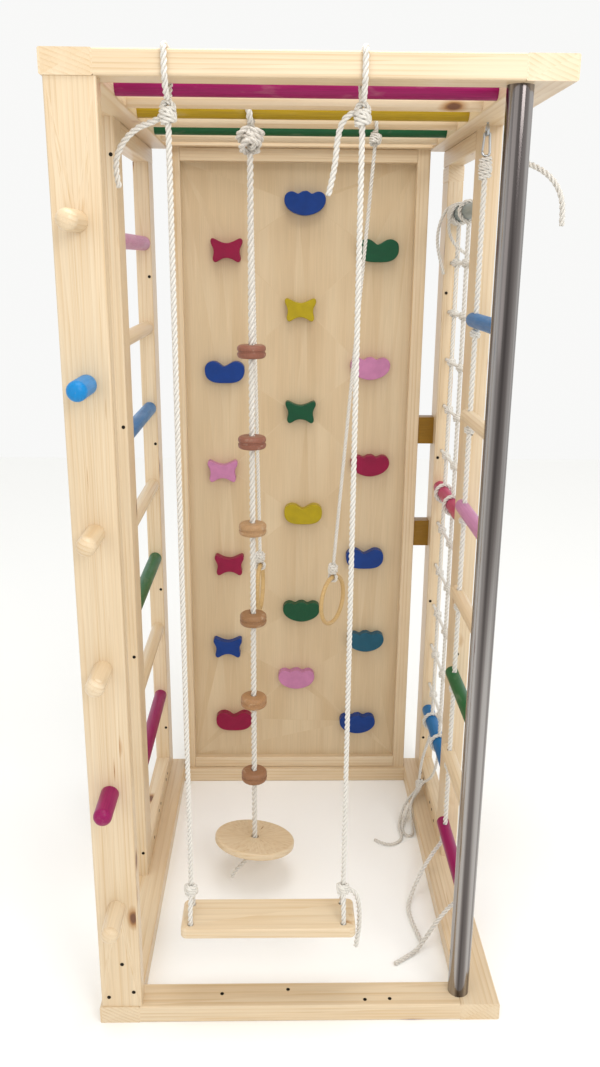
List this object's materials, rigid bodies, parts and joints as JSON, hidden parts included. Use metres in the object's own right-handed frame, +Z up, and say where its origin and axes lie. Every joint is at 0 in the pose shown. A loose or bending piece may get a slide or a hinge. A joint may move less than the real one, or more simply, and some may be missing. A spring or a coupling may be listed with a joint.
{
  "type": "indoor climbing frame",
  "caption": "Wooden indoor play frame with a climbing wall, rung wall, rope net, overhead bars, rope ladder, plank swing, rings, rope with discs and a round seat, steel pole and pegs.",
  "frame": {"origin": "centre of the floor rectangle that the timber and its pegs cover, on the floor", "axes": "+X to the right and +Y to the back as seen by someone facing the climbing wall, +Z up"},
  "size_m": [0.9996, 1.24, 2.1198],
  "materials": {
    "pine": "planed, clear oiled pine",
    "plywood": "sanded birch-faced plywood",
    "magenta_paint": "magenta satin paint on a turned dowel",
    "green_paint": "green satin paint on a turned dowel",
    "yellow_paint": "yellow-olive satin paint on a turned dowel",
    "blue_paint": "blue satin paint on a turned dowel",
    "pink_paint": "pink satin paint on a turned dowel",
    "red_paint": "crimson satin paint on a turned dowel",
    "grey_paint": "grey satin paint on a turned dowel",
    "ochre_paint": "ochre satin paint on a planed block",
    "hold_blue": "sawn wood in satin paint",
    "hold_magenta": "sawn wood in satin paint",
    "hold_green": "sawn wood in satin paint",
    "hold_yellow": "sawn wood in satin paint",
    "hold_pink": "sawn wood in satin paint",
    "polished_steel": "polished stainless tube",
    "zinc_steel": "bright zinc plated steel",
    "dark_steel": "dark phosphated screw steel",
    "rope": "white laid polypropylene rope, three strands",
    "ring_varnish": "turned ring, glossy clear varnish",
    "disc_stain": "turned discs, brown-pink stain"
  },
  "bodies": {
    "frame": {"base_side_boards": "pine", "base_cross_boards": "pine", "top_side_boards": "pine", "top_cross_boards": "pine", "front_post": "pine", "pegs_natural": "pine", "peg_magenta": "magenta_paint", "peg_blue": "blue_paint", "steel_pole": "polished_steel", "left_uprights": "pine", "right_uprights": "pine", "side_wall_rails": "pine", "left_rungs_natural": "pine", "left_rung_magenta": "magenta_paint", "left_rung_green": "green_paint", "left_rung_blue": "blue_paint", "left_rung_pink": "pink_paint", "net_bar_grey": "grey_paint", "net_bar_red": "red_paint", "net_bar_blue": "blue_paint", "net_side_ropes": "rope", "net_cross_cords": "rope", "net_knots": "rope", "net_rope_ends": "rope", "monkey_bars_natural": "pine", "monkey_bar_magenta": "magenta_paint", "monkey_bar_yellow": "yellow_paint", "monkey_bar_green": "green_paint", "wall_frame": "pine", "wall_panel": "plywood", "wall_ties": "ochre_paint", "holds_blue": "hold_blue", "holds_magenta": "hold_magenta", "holds_green": "hold_green", "holds_yellow": "hold_yellow", "holds_pink": "hold_pink", "hold_screws": "zinc_steel", "frame_screws": "dark_steel", "swing_hitches": "rope", "ladder_eye_screws": "zinc_steel"},
    "swing": {"swing_seat": "pine", "swing_rope_left": "rope", "swing_rope_right": "rope", "swing_bridles": "rope"},
    "disc_hitch": {"disc_rope_hitch": "rope"},
    "disc_rope": {"disc_rope": "rope", "rope_discs": "disc_stain"},
    "round_seat": {"round_seat": "pine"},
    "ring_rope_left": {"ring_rope_left": "rope"},
    "ring_rope_right": {"ring_rope_right": "rope"},
    "ring_left": {"ring_left": "ring_varnish"},
    "ring_right": {"ring_right": "ring_varnish"},
    "rope_ladder": {"ladder_hooks": "zinc_steel", "ladder_knots": "rope", "ladder_rope_near": "rope", "ladder_rope_far": "rope", "ladder_rungs_natural": "pine", "ladder_rungs_painted": "magenta_paint"},
    "hook_gate_near": {"hook_gate_near": "zinc_steel"},
    "hook_gate_far": {"hook_gate_far": "zinc_steel"}
  },
  "joints": [
    {"name": "swing_pivot", "type": "hinge", "parent": "frame", "child": "swing", "pos_m": [-0.08, -0.4825, 2.015], "axis": [1, 0, 0], "range_deg": [-45, 12]},
    {"name": "disc_hitch_roll", "type": "hinge", "parent": "frame", "child": "disc_hitch", "pos_m": [-0.124, 0.016, 2.0835], "axis": [1, 0, 0], "range_deg": [-9, 1.5]},
    {"name": "disc_rope_sway", "type": "hinge", "parent": "disc_hitch", "child": "disc_rope", "pos_m": [-0.124, 0.016, 1.991], "axis": [0, -1, 0], "range_deg": [-5, 12]},
    {"name": "round_seat_turn", "type": "hinge", "parent": "disc_rope", "child": "round_seat", "pos_m": [-0.124, 0.016, 0.132], "axis": [0.1068, 0.1666, 0.9802], "continuous": true},
    {"name": "ring_rope_left_roll", "type": "hinge", "parent": "frame", "child": "ring_rope_left", "pos_m": [-0.129, 0.166, 2.0835], "axis": [1, 0, 0], "range_deg": [-1.5, 13]},
    {"name": "ring_rope_right_roll", "type": "hinge", "parent": "frame", "child": "ring_rope_right", "pos_m": [0.183, 0.166, 2.0835], "axis": [1, 0, 0], "range_deg": [-22, 13]},
    {"name": "ring_left_tilt", "type": "hinge", "parent": "ring_rope_left", "child": "ring_left", "pos_m": [-0.108, 0.166, 0.924], "axis": [0.1045, 0.9945, 0], "range_deg": [-45, 45]},
    {"name": "ring_right_tilt", "type": "hinge", "parent": "ring_rope_right", "child": "ring_right", "pos_m": [0.098, 0.166, 0.889], "axis": [0.5, 0.866, 0], "range_deg": [-45, 45]},
    {"name": "ladder_sway", "type": "hinge", "parent": "frame", "child": "rope_ladder", "pos_m": [0.428, -0.1325, 2.034], "axis": [0, -1, 0], "range_deg": [-7.5, 30], "deforming": ["ladder_rope_near", "ladder_rope_far"]},
    {"name": "hook_gate_near_hinge", "type": "hinge", "parent": "rope_ladder", "child": "hook_gate_near", "pos_m": [0.419, -0.27, 2.0009], "axis": [0, 1, 0], "range_deg": [0, 15], "stiffness_Nm_per_rad": 0.02, "springref_deg": -11.46},
    {"name": "hook_gate_far_hinge", "type": "hinge", "parent": "rope_ladder", "child": "hook_gate_far", "pos_m": [0.419, 0.005, 2.0009], "axis": [0, 1, 0], "range_deg": [0, 15], "stiffness_Nm_per_rad": 0.02, "springref_deg": -11.46}
  ]
}
